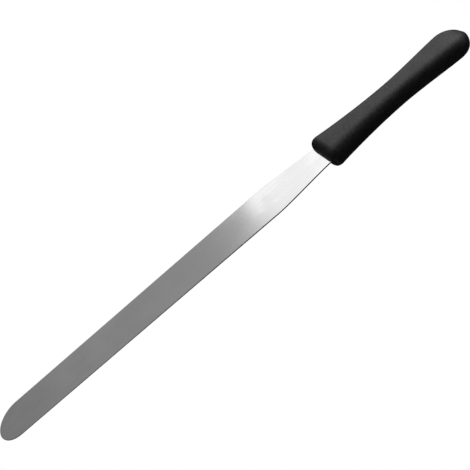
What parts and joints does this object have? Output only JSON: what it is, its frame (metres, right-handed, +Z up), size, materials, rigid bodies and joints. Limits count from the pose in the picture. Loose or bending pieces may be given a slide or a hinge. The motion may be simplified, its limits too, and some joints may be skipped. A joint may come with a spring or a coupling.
{
  "type": "icing spatula",
  "caption": "Straight icing spatula: a long flexible round-tipped steel blade that narrows to a neck and is moulded into a waisted black plastic handle.",
  "frame": {"origin": "below the middle of the whole length, on the plane that the underside of the handle rests on", "axes": "+X along the tool from the blade's tip to the handle's butt, +Z up out of the blade's flat side, +Y across the blade"},
  "size_m": [0.4339, 0.0366, 0.0172],
  "materials": {
    "blade_steel": "fine brushed stainless steel, grained along the blade",
    "core_plastic": "plain moulded polypropylene, hidden inside the grip",
    "grip_plastic": "fine spark-eroded matte black moulding"
  },
  "bodies": {
    "root": {"blade": "blade_steel", "handle_core": "core_plastic", "handle_grip": "grip_plastic"}
  },
  "joints": []
}
